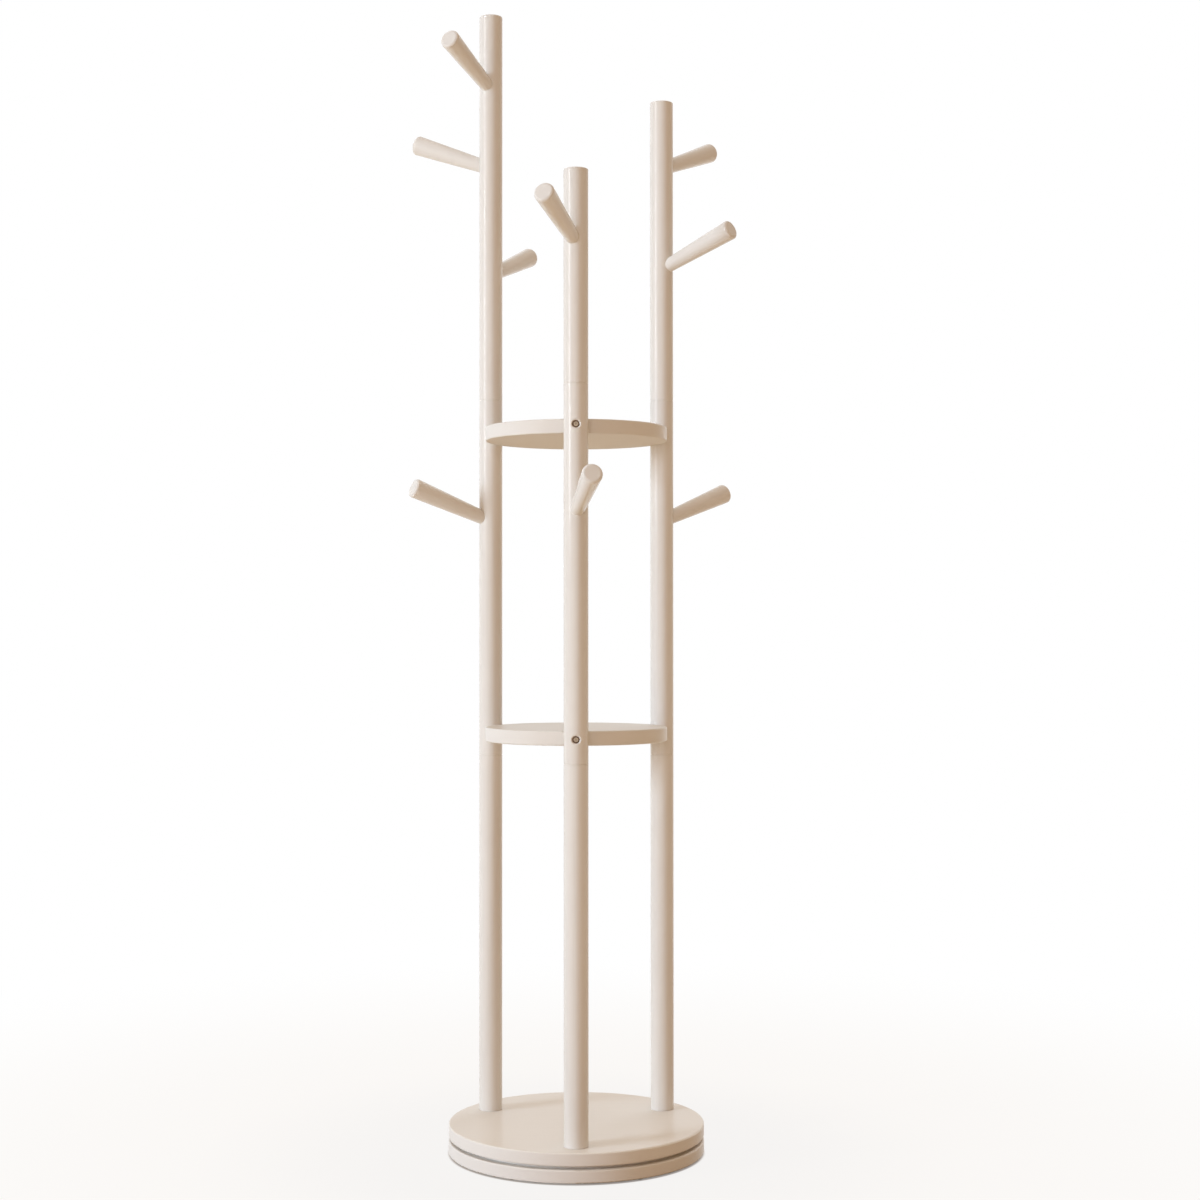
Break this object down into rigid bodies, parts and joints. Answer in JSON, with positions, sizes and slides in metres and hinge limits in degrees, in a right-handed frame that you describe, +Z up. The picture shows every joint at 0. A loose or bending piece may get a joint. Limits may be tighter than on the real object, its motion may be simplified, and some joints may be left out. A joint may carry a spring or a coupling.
{
  "type": "rotating hall tree",
  "caption": "Free-standing swivelling coat rack: round posts of unequal height on a turning disc base, with tapered rising pegs for coats and round shelves between the posts",
  "frame": {"origin": "on the floor, under the axis of the swivel", "axes": "+Z up along the swivel axis, -Y towards the short front post, +X to the right of someone facing the front post"},
  "size_m": [0.5206, 0.5019, 1.8],
  "materials": {
    "painted_wood": "cream-white satin paint over turned and routed wood",
    "zinc_steel": "zinc-plated steel",
    "polished_steel": "polished bearing steel",
    "insert_brass": "plain brass thread insert",
    "nylon": "natural nylon",
    "felt": "pressed felt"
  },
  "bodies": {
    "base": {"lower_base_disc": "painted_wood", "foot_pads": "felt", "bearing_outer_ring": "zinc_steel", "outer_ring_screws": "zinc_steel"},
    "ball_cage": {"bearing_cage": "nylon", "bearing_balls": "polished_steel"},
    "turntable": {"base_inserts": "insert_brass", "bearing_inner_ring": "zinc_steel", "front_low_peg": "painted_wood", "front_post_lower": "painted_wood", "front_post_middle": "painted_wood", "front_post_upper": "painted_wood", "front_top_peg": "painted_wood", "inner_ring_screws": "zinc_steel", "left_low_peg": "painted_wood", "left_post_lower": "painted_wood", "left_post_middle": "painted_wood", "left_post_upper": "painted_wood", "left_second_peg": "painted_wood", "left_third_peg": "painted_wood", "left_top_peg": "painted_wood", "lower_joint_inserts": "insert_brass", "lower_joint_studs": "zinc_steel", "lower_shelf": "painted_wood", "lower_shelf_inserts": "insert_brass", "lower_shelf_screws": "zinc_steel", "peg_inserts": "insert_brass", "peg_studs": "zinc_steel", "post_base_bolts": "zinc_steel", "post_base_washers": "zinc_steel", "right_low_peg": "painted_wood", "right_post_lower": "painted_wood", "right_post_middle": "painted_wood", "right_post_upper": "painted_wood", "right_second_peg": "painted_wood", "right_top_peg": "painted_wood", "upper_base_disc": "painted_wood", "upper_joint_inserts": "insert_brass", "upper_joint_studs": "zinc_steel", "upper_shelf": "painted_wood", "upper_shelf_inserts": "insert_brass", "upper_shelf_screws": "zinc_steel"}
  },
  "joints": [
    {"name": "turntable_spin", "type": "hinge", "parent": "base", "child": "turntable", "pos_m": [0, 0, 0.024], "axis": [0, 0, 1], "continuous": true},
    {"name": "ball_cage_spin", "type": "hinge", "parent": "base", "child": "ball_cage", "pos_m": [0, 0, 0.024], "axis": [0, 0, 1], "continuous": true}
  ],
  "couplings": [
    {"joint": "ball_cage_spin", "follows": "turntable_spin", "ratio": 0.479}
  ]
}
